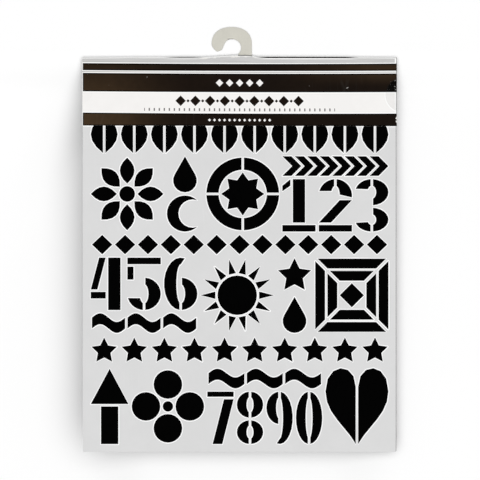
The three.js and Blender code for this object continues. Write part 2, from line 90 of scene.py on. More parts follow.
CARD_THICKNESS = FRONT_HIGH.z - FRONT_LOW.z
HEADER_WIDTH = FRONT_HIGH.x - FRONT_LOW.x
HEADER_FOOT = FRONT_LOW.y
CREASE_Y = FRONT_HIGH.y
FOLD_RADIUS = (BACK_HIGH.z - BACK_LOW.z) / 2
FOLD_Y = BACK_HIGH.y - FOLD_RADIUS
FOLD_Z = (BACK_HIGH.z + BACK_LOW.z) / 2
FRONT_MIDDLE_Z = (FRONT_LOW.z + FRONT_HIGH.z) / 2
BACK_MIDDLE_Z = BACK_LOW.z + CARD_THICKNESS / 2
PRINT_MAP = "Print"

NEAR = 0.01 * MM
SAME = 0.001 * MM
FLAT_ANGLE = math.radians(0.5)
SHARP_ANGLE = math.radians(60)
SMOOTH_ANGLE = math.radians(40)
TIP_ANGLE = math.radians(210)
CREASE_ROWS = 8
SLIT_DEPTH = 8 * MM
FLOOR_CELLS = 110
CAMERA_AIM = (0.26 * MM, -0.4 * MM)

# The header's fold rises over the hook between the first of each pair, where it starts, and the second
CROWN_LEFT, CROWN_RIGHT = (-28 * MM, 1 * MM), (14 * MM, 4 * MM)
CROWN_BOW = 0.2
PILLOW_ARC = 0.75 * math.pi

# Print: softness of its edges, what runs past the foot, and the reach of its tilt in half widths
SOFT_EDGE, PRINT_SOFT = 0.06 * MM, 0.1 * MM
HAIRLINE, BLEED = 0.5 * MM, 5 * MM
TILT_SPAN = 1.6
# Heights over which the painted sheen on the dark print fades, on the left and on the right
SHEEN_LEFT, SHEEN_RIGHT = (135 * MM, 72 * MM), (97 * MM, 107 * MM)

# Marks of wear, and places of painted shade, highlights and glints, across the pack (X) or up it (Y), from its
# middle
FOLD_SHADE_LEFT, FOLD_SHADE_RIGHT = (-44 * MM, -26 * MM), (14 * MM, 72 * MM)
HOOK_SLIT, HOOK_RUB = (-1 * MM, 8 * MM), (-26 * MM, 10 * MM)
KNOCK = (74.9 * MM, 78.7 * MM)
THROAT_X, THROAT_SHADE_Y, THROAT_HIGHLIGHT_Y = (-7.6 * MM, -4 * MM), (127.4 * MM, 128.3 * MM), (128.5 * MM, 129.1 * MM)
PAPER_DUST = (0.3, 0.3, 0.3)
GLINT_THINNESS = 2.2
# Painted glints: small slanted pale spots on the print
GLINT_SPOTS = (  # X, Y, half length and slant
    (-59 * MM, 103.9 * MM, 0.6 * MM, 0),
    (68.7 * MM, 97.3 * MM, 1.2 * MM, 0.4),
    (99.2 * MM, 101.8 * MM, 0.8 * MM, 0.5),
    (99 * MM, 98 * MM, 0.8 * MM, -0.5),
    (99.5 * MM, 96.1 * MM, 0.8 * MM, 0.5),
)


def seal_circle(node):
    """Distance of a seal's centre from the middle of the pack, its height, and its radius."""
    low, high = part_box(node)
    reach = HEADER_WIDTH / 2 - min(abs(low.x), abs(high.x))
    half_chord = (high.y - low.y) / 2
    radius = (reach ** 2 + half_chord ** 2) / (2 * reach)
    return HEADER_WIDTH / 2 - reach + radius, (low.y + high.y) / 2, radius


def number(name, description, default, **more):
    return FloatProperty(name=name, description=description, default=default, **more)


def length(name, description, millimetres):
    return number(name, description, millimetres * MM, unit="LENGTH", precision=5)


def tint(name, description, default):
    return FloatVectorProperty(
        name=name, description=description, default=default, subtype="COLOR", size=3, min=0, max=1
    )


class HeaderCardSettings(bpy.types.PropertyGroup):
    """Form and print of the folded header card"""

    columns: IntProperty(name="Columns", description="Faces across the card", default=100, min=8)
    rows: IntProperty(name="Rows", description="Faces down each flap", default=18, min=4)
    fold_steps: IntProperty(name="Fold steps", description="Faces round the fold", default=12, min=4)
    crown: length("Crown", "How far the fold rises over the hook's foot", 1.45)
    pillow: length("Pillow", "How far the front flap swells in its middle", 0.3)
    skew: length("Skew", "How much lower the front flap hangs at its right end", 0.4)
    groove: length("Groove", "Depth of the scored crease", 0.07)
    crease_reach: length("Crease reach", "How far below the crease the flap bends", 1)
    slit_play: length("Slit play", "Room round the hook's stem in the slit", 0.15)
    print_sag: length("Print sag", "How much lower the print sits in the middle", 0.35)
    print_tilt: length("Print tilt", "How much lower the print sits at the right end", 0.4)
    print_margin: length("Print margin", "Bare card left of the dark bands", 0.34)
    keyline: length("Keyline", "Bright line along each dark band", 0.65)
    ink_edge: length("Ink edge", "Denser ink along the edges of each dark band", 0.7)
    end_line: length("End line", "Bright line down the right end", 1.3)
    # Painted shade: a dark line down the card's right edge, where its side lies in shade
    end_edge: length("End edge", "Dark line along the right edge", 0.5)
    print_top: length("Print top", "Upper edge of the first dark band", 112.46)
    rule_top: length("Rule top", "Upper edge of the white line", 107.98)
    rule_foot: length("Rule foot", "Lower edge of the white line", 106.25)
    panel_top: length("Panel top", "Upper edge of the white panel", 94.5)
    panel_foot: length("Panel foot", "Lower edge of the white panel", 80.93)
    white: tint("White", "Bare coated card", (0.912, 0.896, 0.88))
    bright: tint("Keyline white", "Uncovered white beside the print", (0.99, 0.99, 0.98))
    # Painted shade: the grey of the fold's spine in shade, painted on the card
    strip: tint("Fold strip", "Strip over the fold", (0.6, 0.597, 0.592))
    ink: tint("Ink", "Dark print", (0.0095, 0.006, 0.0042))
    # Painted sheen: the dark print's colour where its coat would catch the light
    ink_sheen: tint("Ink sheen", "Dark print where its coat catches the light", (0.053, 0.032, 0.0165))
    ink_dense: tint("Ink, dense", "Dark print along its own edges", (0.001, 0.0006, 0.0003))
    core: tint("Core", "Card showing at its cut edges", (0.86, 0.84, 0.8))


class StencilSheetSettings(bpy.types.PropertyGroup):
    """Finish of the sheet with cut-outs"""

    corner: length("Cut corner", "Radius that the cutting beam leaves in sharp tips", 0.25)
    rim: length("Cut rim", "Width of the pale rim round each cut-out", 0.64)
    weld: length("Weld", "Points of a rim closer than this become one", 0.04)
    rim_lift: length("Rim lift", "How far the rim stands up", 0.02)
    rub: length("Rub", "Width of the pale line that the header's foot rubs", 0.65)
    polyester: tint("Polyester", "Milky sheet", (0.69, 0.69, 0.69))
    cut_edge: tint("Cut edge", "Pale rim left by cutting", (0.985, 0.985, 0.985))
    # Painted shadow: a dark line painted along the sheet's right edge, in the backing's colour
    dark_edge: length("Dark edge", "Backing that shows along the sheet's right edge", 0.3)
    dyed_card: tint("Backing", "Black backing card", (0.0006, 0.0006, 0.0006))


class HangerHookSettings(bpy.types.PropertyGroup):
    """Finish of the hook and the pad under its foot"""

    edge_round: length("Edge round", "Radius along the hook's edges", 0.14)
    plastic: tint("Plastic", "Natural translucent plastic", (0.603, 0.588, 0.522))
    tack: tint("Adhesive", "Adhesive pad", (0.8, 0.77, 0.66))


class ClearSealSettings(bpy.types.PropertyGroup):
    """Finish of the clear wafer seals"""

    # The bright rim is a painted highlight on the film's cut edge
    rim: length("Rim", "Width of the bright rim round a seal", 0.3)
    film: tint("Film", "Tint of the clear film", (0.02, 0.02, 0.018))
    edge: tint("Edge", "Film's cut rim", (0.09, 0.088, 0.085))
    body_alpha: number("Body", "Opacity inside the rim", 0.04, min=0, max=1)
    rim_alpha: number("Rim opacity", "Opacity at the rim", 0.12, min=0, max=1)


class StageSettings(bpy.types.PropertyGroup):
    """Floor, riser, light and camera"""

    touch: length("Gap at the fold", "Room between the floor and the pack's fold", 0.05)
    dip_left: length("Dip, left", "How far the floor falls below the pack's left side", 20.5)
    dip_foot: length("Dip, foot", "How far the floor falls below the pack's foot", 12)
    dip_right: length("Dip, right", "How far the floor falls below the pack's right side", 5.2)
    dip_run: length("Dip run", "Length over which the floor falls away from the fold", 24)
    dip_run_left: length("Dip run, left", "Length over which the floor falls on the left", 60)
    dip_fan: number("Dip fan", "How much longer the fall on the left gets away from the pack", 1.5)
    dip_bank: length("Dip bank", "Width of the banks between the dips", 45)
    riser_inset: length("Riser inset", "How far the riser stays inside the pack", 30)
    gather: length("Gather", "Width past the fold in which the floor's rows crowd together", 60)
    hook_rest: length("Hook rest", "How far the floor comes up under the hook", 0.5)
    floor_size: length("Floor size", "Side of the floor", 8000)
    floor: tint("Floor", "Plain pale floor, as the eye sees it", (1, 1, 1))
    floor_bounce: tint("Floor bounce", "The floor's colour for the light it throws back", (0.38, 0.38, 0.38))
    sky: number("Sky", "Strength of the even light", 0.22, min=0)
    key: number("Key", "Strength of the broad overhead light", 2.48, min=0)
    key_spread: number("Key spread", "Breadth of the overhead light", math.radians(100), subtype="ANGLE")
    key_lean: FloatVectorProperty(
        name="Key lean", description="Lean of the overhead light to the foot and to the right", size=2,
        default=(math.radians(8), math.radians(4)), subtype="EULER",
    )
    lens: number("Lens", "Focal length in millimetres", 120, min=1)
    view_width: length("View width", "Width that the picture takes in", 306.3)


class StencilPackSettings(bpy.types.PropertyGroup):
    """All settings of the packaged stencil"""

    header: PointerProperty(type=HeaderCardSettings)
    sheet: PointerProperty(type=StencilSheetSettings)
    hook: PointerProperty(type=HangerHookSettings)
    seals: PointerProperty(type=ClearSealSettings)
    stage: PointerProperty(type=StageSettings)


def pack_settings():
    return bpy.context.scene.stencil_pack


# Modelling helpers


def make_active(obj):
    bpy.ops.object.select_all(action="DESELECT")
    obj.select_set(True)
    bpy.context.view_layer.objects.active = obj


@contextmanager
def editing(obj, mode="VERT", action="DESELECT"):
    make_active(obj)
    bpy.ops.object.mode_set(mode="EDIT")
    bpy.ops.mesh.select_mode(type=mode)
    bpy.ops.mesh.select_all(action=action)
    yield
    bpy.ops.object.mode_set(mode="OBJECT")


def select(obj, kind, test):
    """Selects the verts, edges or faces that pass the test, in edit mode, and nothing else."""
    bpy.ops.mesh.select_all(action="DESELECT")
    mesh = bmesh.from_edit_mesh(obj.data)
    for element in getattr(mesh, kind):
        if test(element):
            element.select_set(True)
    mesh.select_flush_mode()
    bmesh.update_edit_mesh(obj.data)


def face_outward(obj, side):
    """Makes the faces of an open sheet agree, in edit mode, and most of them face up (1) or down (-1)."""
    bpy.ops.mesh.select_all(action="SELECT")
    bpy.ops.mesh.normals_make_consistent(inside=False)
    if side * sum(face.normal.z for face in bmesh.from_edit_mesh(obj.data).faces) < 0:
        bpy.ops.mesh.flip_normals()


def height_range(element):
    """How much the points of an edge or a face differ in height."""
    heights = [vertex.co.z for vertex in element.verts]
    return max(heights) - min(heights)


def apply_modifier(obj, kind, **settings):
    make_active(obj)
    modifier = obj.modifiers.new(kind.title(), kind)
    for key, value in settings.items():
        setattr(modifier, key, value)
    bpy.ops.object.modifier_apply(modifier=modifier.name)


def push(obj, direction, distance, weight):
    """Moves each point along X, Y or Z by distance times its weight."""
    group = obj.vertex_groups.new(name="Push")
    for vertex in obj.data.vertices:
        group.add([vertex.index], weight(vertex.co), "REPLACE")
    apply_modifier(
        obj, "DISPLACE", direction=direction, strength=distance, mid_level=0, vertex_group=group.name
    )
    obj.vertex_groups.clear()


def stretch(name, low, high, add_primitive, **settings):
    """A plain grid or cube of unit size, stretched between two corners."""
    bpy.ops.object.select_all(action="DESELECT")
    add_primitive(size=1, calc_uvs=False, **settings)
    piece = bpy.context.object
    piece.name = piece.data.name = name
    with editing(piece, action="SELECT"):
        bpy.ops.transform.resize(value=[end - start or 1 for start, end in zip(low, high)])
        bpy.ops.transform.translate(value=[(end + start) / 2 for start, end in zip(low, high)])
    return piece


def grid(name, low, high, columns, rows):
    """A flat sheet of faces between two corners."""
    return stretch(name, low, high, bpy.ops.mesh.primitive_grid_add, x_subdivisions=columns, y_subdivisions=rows)


def block(name, low, high):
    """A closed block between two corners."""
    return stretch(name, low, high, bpy.ops.mesh.primitive_cube_add)


def flat_card(name, height, settings):
    """A flat sheet of the header's width, from its foot to its fold."""
    low, high = (-HEADER_WIDTH / 2, HEADER_FOOT, height), (HEADER_WIDTH / 2, FOLD_Y, height)
    return grid(name, low, high, settings.columns, settings.rows)


def lay_print(card):
    """The print's map is the card seen from the front, in metres, so that it stays on when the card bends."""
    layer = card.data.uv_layers.new(name=PRINT_MAP)
    for loop in card.data.loops:
        point = card.data.vertices[loop.vertex_index].co
        layer.data[loop.index].uv = (point.x, point.y)


def cad_copy(node, name):
    """A copy of a CAD node as a piece of its own, with its loose triangles joined into flat faces."""
    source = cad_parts[node]
    copy = bpy.data.objects.new(name, source.data.copy())
    copy.data.name = name
    copy.data.materials.clear()
    bpy.context.scene.collection.objects.link(copy)
    with editing(copy, action="SELECT"):
        bpy.ops.mesh.remove_doubles(threshold=SAME)
        bpy.ops.mesh.dissolve_limited(angle_limit=FLAT_ANGLE)
    return copy


def finish_with(obj, *materials):
    obj.data.materials.clear()
    for material in materials:
        obj.data.materials.append(material)


def eased(value, start, end):
    """0 at the start and 1 at the end, and gentle at both."""
    share = min(1.0, max(0.0, (value - start) / (end - start)))
    return share * share * (3 - 2 * share)


# Shader helpers, most of which find their node tree from the sockets that they are given


def is_socket(value):
    return isinstance(value, bpy.types.NodeSocket)


def add(tree, kind, inputs=(), **settings):
    """Adds a node, sets it, and links or fills the named inputs."""
    node = tree.nodes.new(kind)
    for key, value in settings.items():
        setattr(node, key, value)
    for key, value in dict(inputs).items():
        if is_socket(value):
            tree.links.new(value, node.inputs[key])
        else:
            node.inputs[key].default_value = value
    return node


def attach(kind, inputs, **settings):
    """Adds a node to the tree of the first socket among its inputs, and gives its outputs."""
    tree = next(value.id_data for value in inputs.values() if is_socket(value))
    return add(tree, kind, inputs, **settings).outputs


def calc(operation, *values):
    return attach("ShaderNodeMath", dict(enumerate(values)), operation=operation)[0]


def chain(operation, *values):
    """Works one operation through the values in turn."""
    return reduce(partial(calc, operation), values)


plus, minus, times, most = (partial(chain, name) for name in ("ADD", "SUBTRACT", "MULTIPLY", "MAXIMUM"))
size_of = partial(calc, "ABSOLUTE")
scale_and_add = partial(calc, "MULTIPLY_ADD")


def ramp(value, low, high):
    """0 below low, 1 above high, and smooth between them."""
    inputs = {"Value": value, "From Min": low, "From Max": high}
    return attach("ShaderNodeMapRange", inputs, interpolation_type="SMOOTHSTEP")[0]


def spread(value, low, high):
    """A noise value from about 0.3 to 0.7 spread over low to high."""
    inputs = {"Value": value, "From Min": 0.3, "From Max": 0.7, "To Min": low, "To Max": high}
    return attach("ShaderNodeMapRange", inputs)[0]


def past(value, edge, soft=SOFT_EDGE):
    """0 before an edge and 1 past it, or the other way round where soft is negative."""
    return ramp(value, edge - soft, edge + soft)


def band(value, low, high, soft=SOFT_EDGE):
    """1 between low and high."""
    return times(past(value, low, soft), past(value, high, -soft))


def stripes(value, edges, grow=0.0):
    """1 inside any of the stripes, with each made wider by grow on both sides."""
    return most(*(band(value, low - grow, high + grow) for low, high in edges))


def blend_colour(factor, first, second):
    """The first colour where the factor is 0, and the second where it is 1."""
    first, second = (colour if is_socket(colour) else (*colour, 1) for colour in (first, second))
    return attach("ShaderNodeMix", {0: factor, 6: first, 7: second}, data_type="RGBA")[2]


def shade_colour(colour, tone):
    """The colour made lighter or darker by a tone about 1."""
    colour = colour if is_socket(colour) else tuple(colour)
    return attach("ShaderNodeVectorMath", {0: colour, "Scale": tone}, operation="SCALE")[0]


def noise(vector, scale, detail=3.0, roughness=0.55):
    inputs = {"Vector": vector, "Scale": scale, "Detail": detail, "Roughness": roughness}
    return attach("ShaderNodeTexNoise", inputs)[0]


def stretched(vector, turn, scale):
    return attach("ShaderNodeMapping", {"Vector": vector, "Rotation": (0, 0, turn), "Scale": scale})[0]


def bump(height, distance):
    return attach("ShaderNodeBump", {"Height": height, "Distance": distance})[0]


def xyz(vector):
    return attach("ShaderNodeSeparateXYZ", {0: vector})


def new_material(name, uv_map=None):
    """An empty material, and the points of the piece that it covers: its map's, or its own."""
    material = bpy.data.materials.new(name)
    material.use_nodes = True
    tree = material.node_tree
    tree.nodes.clear()
    if uv_map:
        return material, add(tree, "ShaderNodeUVMap", uv_map=uv_map).outputs[0]
    return material, add(tree, "ShaderNodeTexCoord").outputs["Object"]


def close_with(owner, kind, inputs):
    """Gives a material or a world its one shader."""
    shader = add(owner.node_tree, kind, inputs)
    add(owner.node_tree, f"ShaderNodeOutput{type(owner).__name__}", {"Surface": shader.outputs[0]})
    return owner


def coat(material, colour, roughness, specular, normal, **more):
    """Gives a material its Principled shader."""
    inputs = {"Base Color": colour, "Roughness": roughness, "Specular IOR Level": specular, "Normal": normal}
    return close_with(material, "ShaderNodeBsdfPrincipled", {**inputs, **more})


# Effects that several finishes share


def new_group(name, inputs, outputs):
    tree = bpy.data.node_groups.new(name, "ShaderNodeTree")
    for in_out, labels in (("INPUT", inputs), ("OUTPUT", outputs)):
        for label in labels:
            kind = "NodeSocketVector" if label == "Vector" else "NodeSocketFloat"
            tree.interface.new_socket(label, in_out=in_out, socket_type=kind)
    return tree, tree.nodes.new("NodeGroupInput").outputs


def close_group(tree, **outputs):
    add(tree, "NodeGroupOutput", outputs)
    return tree


def card_grain_group():
    """Fine pulp grain with short fibres that lie in two directions."""
    tree, given = new_group("Card grain", ("Vector", "Scale"), ("Tone", "Height"))
    fibre_scale = times(given["Scale"], 0.6)
    layers = [noise(given["Vector"], given["Scale"], detail=4)]
    for turn in (0.5, -0.9):
        layers.append(noise(stretched(given["Vector"], turn, (1, 0.15, 1)), fibre_scale, detail=2))
    mixed = times(plus(*layers), 1 / len(layers))
    return close_group(tree, Tone=spread(mixed, 0, 1), Height=mixed)


def cloud_group():
    """Slow uneven tone, for milky plastic and print."""
    tree, given = new_group("Cloud", ("Vector", "Scale"), ("Tone",))
    broad = noise(given["Vector"], given["Scale"], detail=2)
    close = noise(given["Vector"], times(given["Scale"], 7), detail=3)
    mixed = plus(times(broad, 0.65), times(close, 0.35))
    return close_group(tree, Tone=spread(mixed, 0, 1))


def handling_group():
    """Hairline scratches, thin in places, and a few specks of dust."""
    tree, given = new_group("Handling marks", ("Vector", "Scale", "Amount"), ("Scratches", "Specks"))
    point, scale, amount = given["Vector"], given["Scale"], given["Amount"]
    patches = ramp(noise(point, times(scale, 0.8)), 0.5, 0.68)
    lines = []
    for turn in (0.35, 1.25, 2.3):
        inputs = {"Vector": stretched(point, turn, (1, 0.08, 1)), "Scale": scale}
        cells = attach("ShaderNodeTexVoronoi", inputs, feature="DISTANCE_TO_EDGE")
        lines.append(ramp(cells["Distance"], 0.012, 0.002))
    dots = attach("ShaderNodeTexVoronoi", {"Vector": point, "Scale": times(scale, 3)})
    near = ramp(dots["Distance"], 0.075, 0.035)
    chance = ramp(attach("ShaderNodeSeparateColor", {0: dots["Color"]})[0], 0.9, 0.92)
    scratches = times(most(*lines), patches, amount)
    return close_group(tree, Scratches=scratches, Specks=times(near, chance, amount))


def edge_wear_group():
    """Ragged wear that reaches in from an edge, given the distance to it."""
    tree, given = new_group("Edge wear", ("Vector", "Scale", "Distance", "Reach"), ("Mask",))
    bites = ramp(noise(given["Vector"], given["Scale"], detail=4, roughness=0.65), 0.42, 0.72)
    return close_group(tree, Mask=calc("GREATER_THAN", times(given["Reach"], bites), given["Distance"]))


EFFECTS = {
    "Card grain": card_grain_group,
    "Cloud": cloud_group,
    "Handling marks": handling_group,
    "Edge wear": edge_wear_group,
}


def effect(name, place, scale, **inputs):
    """Places one of the shared groups, which is built when it is first asked for, and gives its outputs."""
    group = bpy.data.node_groups.get(name) or EFFECTS[name]()
    return attach("ShaderNodeGroup", {"Vector": place, "Scale": scale, **inputs}, node_tree=group)


# Finishes


def printed_header(settings):
    """Dark bands on white coated card, a grey over the fold that is painted shade, a cracked crease and worn side
    edges, with painted sheen, glints, highlights and shade in places.
    """
    material, place = new_material("printed header", PRINT_MAP)
    x, height, _ = xyz(place)
    across = calc("DIVIDE", x, HEADER_WIDTH / 2)
    bow = minus(1, times(across, across))
    y = scale_and_add(bow, settings.print_sag, height)
    y = scale_and_add(ramp(across, -TILT_SPAN, TILT_SPAN), settings.print_tilt, y)
    cloud = effect("Cloud", place, 38.0)["Tone"]
    marks = effect("Handling marks", place, 60.0, Amount=0.8)

    bands = (
        (settings.rule_top, settings.print_top),
        (settings.panel_top, settings.rule_foot),
        (HEADER_FOOT - BLEED, settings.panel_foot),
    )
    left_x, right_x = settings.print_margin - HEADER_WIDTH / 2, HEADER_WIDTH / 2
    banded = stripes(y, bands)
    dark = times(banded, past(x, left_x))
    inner = 0.6 * settings.ink_edge
    dense = most(
        minus(banded, stripes(y, bands, -settings.ink_edge)),
        ramp(x, left_x + settings.ink_edge, left_x + inner),
        ramp(height, HEADER_FOOT + settings.ink_edge, HEADER_FOOT + inner),
    )
    wetted, ring = under_seal(x, height, "seal_right_front")
    keyline = minus(stripes(y, bands, settings.keyline), banded)
    pale = most(keyline, band(x, right_x - settings.end_line, right_x), ring)

    # Painted shade: the grey over the fold stands for the fold's spine in shade, with faint streaks and a darker
    # line at the score
    streaks = noise(stretched(place, 0, (0.04, 1, 1)), 1500.0)
    score_y = settings.print_top + settings.keyline
    score = times(band(y, score_y, score_y + HAIRLINE), -0.14)
    strip = shade_colour(settings.strip, plus(spread(streaks, 0.93, 1.05), score))
    card = shade_colour(settings.white, spread(cloud, 0.99, 1.01))
    card = blend_colour(ramp(y, CREASE_Y, CREASE_Y + 0.2 * MM), card, strip)
    card = blend_colour(pale, card, settings.bright)
    # Painted sheen: the dark print is lighter where its coat would catch the light
    ink = blend_colour(ink_sheen(across, y), settings.ink, settings.ink_sheen)
    ink = shade_colour(ink, spread(cloud, 0.9, 1.1))
    ink = blend_colour(most(dense, wetted), ink, settings.ink_dense)

    rule_y = (settings.rule_top + settings.rule_foot) / 2
    hairline = times(band(y, rule_y - HAIRLINE / 2, rule_y + HAIRLINE / 2), 0.55)
    dust = most(times(marks["Specks"], 0.12), times(marks["Scratches"], 0.008))
    # Painted shade on the fold and in the hook's slit, and painted light over the fold's top
    line, painted_fold_light = fold_line(x, height)
    # Painted shade: a dark line down the card's right edge, above the white panel's foot
    edge_x = right_x - settings.end_edge
    edge = ramp(x, edge_x, edge_x + PRINT_SOFT)
    edge = times(edge, ramp(y, settings.panel_foot, settings.panel_foot + 0.2 * MM), 0.65)
    layers = (
        (dark, ink),
        (hairline, settings.ink),
        (panel_ornament(x, y, settings), settings.ink),
        (band_ornament(x, y, settings), settings.white),
        # Worn card core and dust, and painted glints, all in the core's colour
        (most(worn_edges(place, x, height), dents(x, y), dust), settings.core),
        # Painted light: pale card over the fold's top, which offsets its shading, and a pale line under the dark
        # fold line
        (painted_fold_light, settings.bright),
        # Painted shade: the dark line on the fold and the shadow in the hook's slit
        (line, settings.ink),
        # Painted shade: the dark line down the right edge
        (edge, settings.ink),
    )
    colour = card
    for mask, paint in layers:
        colour = blend_colour(mask, colour, paint)
    grain = effect("Card grain", place, 2600.0)["Height"]
    relief = plus(grain, times(marks["Scratches"], -0.2))
    return coat(material, colour, spread(cloud, 0.4, 0.52), 0.01, bump(relief, 0.012 * MM))


def ink_sheen(across, y):
    """Where the sheen is painted into the print's colour, as if the coating caught the light: down the left end,
    most at its foot, and at the upper right.
    """
    left = times(ramp(across, -0.3, -1), ramp(y, *SHEEN_LEFT))
    right = times(ramp(across, 0.2, 0.9), ramp(y, *SHEEN_RIGHT))
    return scale_and_add(right, 0.45, left)


def seal_reach(x, y, node):
    """How far a point on the header is from a seal's centre, and the seal's radius."""
    centre_x, centre_y, radius = seal_circle(node)
    side, along = minus(size_of(x), centre_x), minus(y, centre_y)
    return calc("SQRT", scale_and_add(side, side, times(along, along))), radius


def under_seal(x, y, node):
    """On the right end of the header, 1 under a seal, whose glue wets the ink, and 1 in a pale ring round it."""
    reach, radius = seal_reach(x, y, node)
    right = calc("GREATER_THAN", x, 0)
    wetted = times(ramp(reach, radius, radius - 0.2 * MM), right)
    return wetted, times(band(reach, radius, radius + 0.6 * MM), right)


def lozenges(x, y, row_y, half, pitch, count, shift=0.0):
    """A row of lozenges, centred on the header: an odd count, or an even one shifted by half a pitch."""
    rise = size_of(minus(y, row_y))
    step = size_of(minus(calc("WRAP", x, shift + pitch / 2, shift - pitch / 2), shift))
    lozenge = ramp(plus(step, rise), half, half - PRINT_SOFT)
    row_half = count * pitch / 2
    return times(lozenge, ramp(size_of(x), row_half, row_half - PRINT_SOFT))


def panel_ornament(x, y, settings):
    """Large lozenges with small ones between them, and ruler ticks along the foot of the white panel."""
    row_y = settings.panel_top - 5.6 * MM
    pitch, count = 9.4 * MM, 9
    large = lozenges(x, y, row_y, 3.4 * MM, pitch, count)
    small = lozenges(x, y, row_y, 1.1 * MM, pitch, count - 1, shift=pitch / 2)
    tick_y = settings.panel_foot + 2.4 * MM
    tick_pitch, tick_half, tick_rise, ruler_half = 3.2 * MM, 0.35 * MM, 0.9 * MM, 60.8 * MM
    step = size_of(calc("WRAP", x, tick_pitch / 2, -tick_pitch / 2))
    ruler = times(
        ramp(step, tick_half + PRINT_SOFT, tick_half),
        band(y, tick_y - tick_rise, tick_y + tick_rise),
        ramp(size_of(x), ruler_half + PRINT_SOFT, ruler_half),
    )
    return most(large, small, times(ruler, 0.85))


def band_ornament(x, y, settings):
    """Small white lozenges in the middle of the upper and the lower dark band."""
    upper_y = (settings.rule_foot + settings.panel_top) / 2
    lower_y = (settings.panel_foot + HEADER_FOOT) / 2
    upper = lozenges(x, y, upper_y, 2.4 * MM, 6.4 * MM, 5)
    return most(upper, lozenges(x, y, lower_y, 1 * MM, 3.2 * MM, 13))


def fold_line(x, height):
    """Two masks: a thin dark line of painted shade on parts of the fold, with the painted shadow in the hook's
    slit, and pale card painted over the fold's top as light, where it offsets the fold's shading.
    """
    crest = FOLD_Y + 0.16 * FOLD_RADIUS
    top = past(height, crest, 0.04 * FOLD_RADIUS)
    drawn = past(height, FOLD_Y + 0.81 * FOLD_RADIUS, -0.05 * FOLD_RADIUS)
    left, right = band(x, *FOLD_SHADE_LEFT, soft=6 * MM), band(x, *FOLD_SHADE_RIGHT, soft=5 * MM)
    along = scale_and_add(left, 0.55, right)
    line = times(top, along, drawn)
    painted_fold_light = scale_and_add(band(height, FOLD_Y - 0.45 * MM, crest), along, minus(top, line))
    low = past(height, FOLD_Y + 0.4 * FOLD_RADIUS, 0.1 * FOLD_RADIUS)
    slit = times(low, band(x, *HOOK_SLIT, soft=0.3 * MM))
    return most(line, times(slit, 0.85)), painted_fold_light


def worn_edges(place, x, y):
    """Card core that shows along the side edges, most at a knock on the right, and where the hook rubs."""
    side = minus(HEADER_WIDTH / 2, size_of(x))
    knock = times(band(y, *KNOCK), ramp(x, 0, HEADER_WIDTH / 2))
    reach = scale_and_add(knock, 1.2 * MM, 0.15 * MM)
    sides = effect("Edge wear", place, 260.0, Distance=side, Reach=reach)["Mask"]
    rub = times(band(x, *HOOK_RUB, soft=3 * MM), 0.55 * MM)
    fold = size_of(minus(y, FOLD_Y))
    return most(sides, effect("Edge wear", place, 180.0, Distance=fold, Reach=rub)["Mask"])


def dents(x, y):
    """Painted glints: small slanted pale spots, two in the upper dark band and three at its right edge."""
    marks = []
    for glint_x, glint_y, half, slant in GLINT_SPOTS:
        side = minus(x, glint_x)
        rise = scale_and_add(side, -slant, minus(y, glint_y))
        reach = plus(size_of(side), times(size_of(rise), GLINT_THINNESS))
        marks.append(ramp(reach, half, half / 2))
    return times(most(*marks), 0.35)


def bare_card(name, colour):
    """Uncoated card: the header's inside and its cut edges."""
    material, place = new_material(name)
    grain = effect("Card grain", place, 2200.0)
    shade = shade_colour(colour, spread(grain["Tone"], 0.97, 1.02))
    return coat(material, shade, spread(grain["Tone"], 0.82, 0.92), 0.2, bump(grain["Height"], 0.03 * MM))


def milky_sheet(name, colour, roughness, settings):
    """Satin polyester film with a slow cloudiness, hairline scratches, dust, a line that the header rubs
    and a painted shadow: a dark line along its right edge."""
    material, place = new_material(name)
    x, y, _ = xyz(place)
    skew = pack_settings().header.skew
    below = plus(y, scale_and_add(x, skew / HEADER_WIDTH, skew / 2))
    rubbed = times(band(below, HEADER_FOOT - settings.rub, HEADER_FOOT), 0.85)
    base = blend_colour(rubbed, colour, settings.cut_edge)
    # Painted shadow: a dark line along the sheet's right edge
    edge = times(past(x, SHEET_HIGH.x - settings.dark_edge, 0.05 * MM), 0.75)
    base = blend_colour(edge, base, settings.dyed_card)
    cloud = effect("Cloud", place, 16.0)["Tone"]
    marks = effect("Handling marks", place, 45.0, Amount=0.7)
    scratches = marks["Scratches"]
    tone = minus(spread(cloud, 0.985, 1.015), times(marks["Specks"], 0.1))
    tone = plus(tone, times(scratches, 0.03))
    satin = plus(spread(cloud, roughness - 0.05, roughness + 0.05), times(scratches, 0.15))
    relief = minus(noise(place, 1800.0, detail=2), scratches)
    return coat(material, shade_colour(base, tone), satin, 0.15, bump(relief, 0.006 * MM))


def dyed_card(settings):
    """Matt black card with a faint grain, a little paper dust and scuffed edges."""
    material, place = new_material("black card")
    x, y, _ = xyz(place)
    grain = effect("Card grain", place, 1900.0)
    specks = effect("Handling marks", place, 70.0, Amount=0.5)["Specks"]
    low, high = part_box("backing_card")
    edge = calc("MINIMUM", minus(high.x, size_of(x)), minus(y, low.y))
    scuffed = effect("Edge wear", place, 300.0, Distance=edge, Reach=0.8 * MM)["Mask"]
    pile = shade_colour(settings.dyed_card, spread(grain["Tone"], 0.6, 1.6))
    dusty = blend_colour(times(most(specks, scuffed), 0.03), pile, PAPER_DUST)
    return coat(material, dusty, spread(grain["Tone"], 0.86, 0.98), 0.01, bump(grain["Height"], 0.03 * MM))


